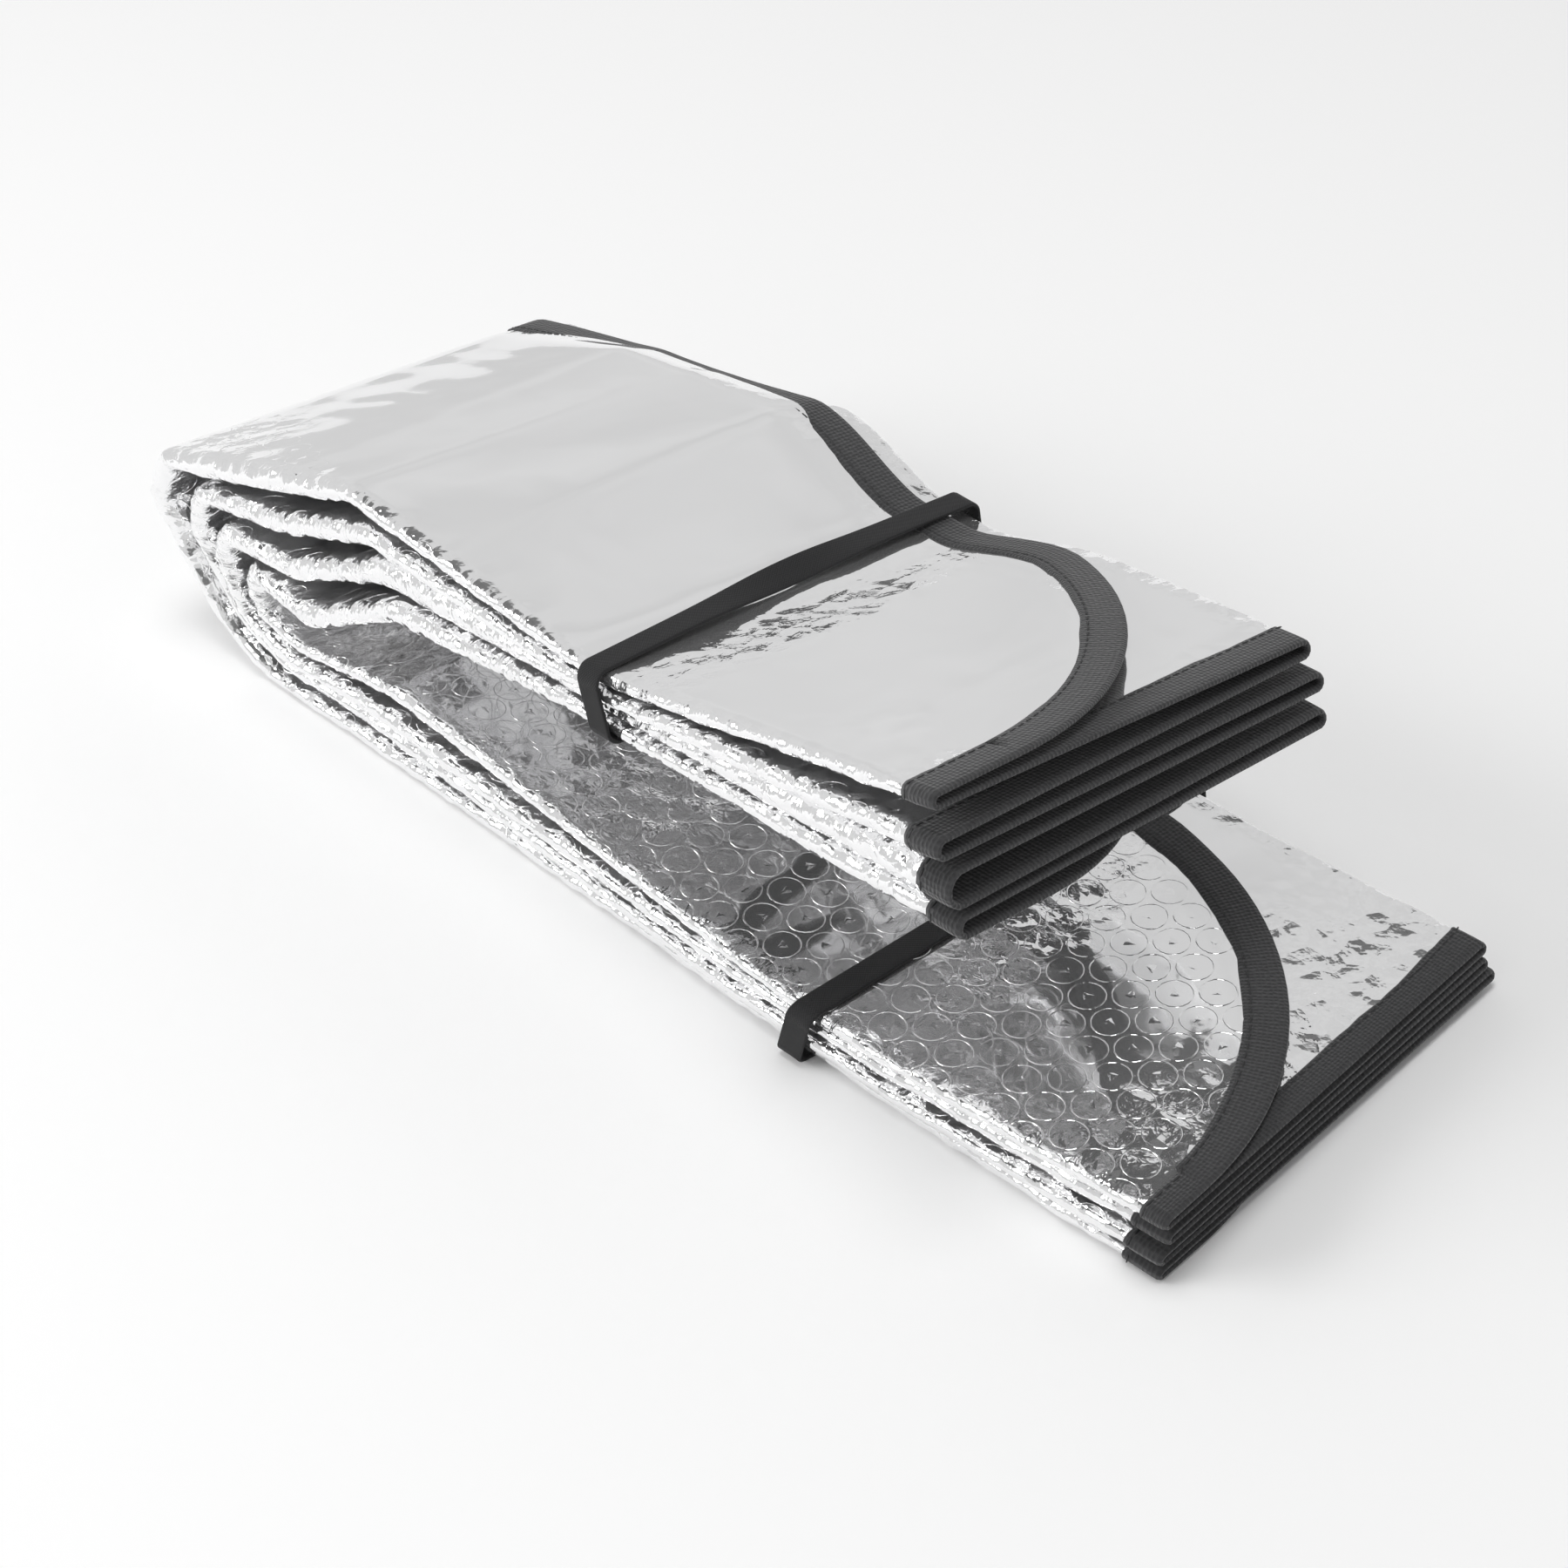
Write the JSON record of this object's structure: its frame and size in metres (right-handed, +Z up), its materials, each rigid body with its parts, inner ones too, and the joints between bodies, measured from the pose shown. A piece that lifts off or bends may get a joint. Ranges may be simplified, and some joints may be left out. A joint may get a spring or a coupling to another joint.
{
  "type": "windscreen sunshade",
  "caption": "Windscreen sunshade of silver bubble foil with black edge tape, folded like a concertina, doubled over once and held by black elastic loops.",
  "frame": {"origin": "centre of the object's bounding box, on the plane of its underside", "axes": "+X along the doubled strip, from its bend to its free ends; +Y across the strip, from its front folds to its back folds; +Z up from the side it lies on"},
  "size_m": [0.3996, 0.154, 0.1394],
  "materials": {
    "foil": "bright metallised film, crinkled",
    "binding": "non-woven tape, matte",
    "elastic": "flat woven elastic, matte"
  },
  "bodies": {
    "root": {"foil_sheet": "foil", "edge_binding": "binding", "elastic_loop_upper": "elastic", "elastic_loop_lower": "elastic"}
  },
  "joints": []
}
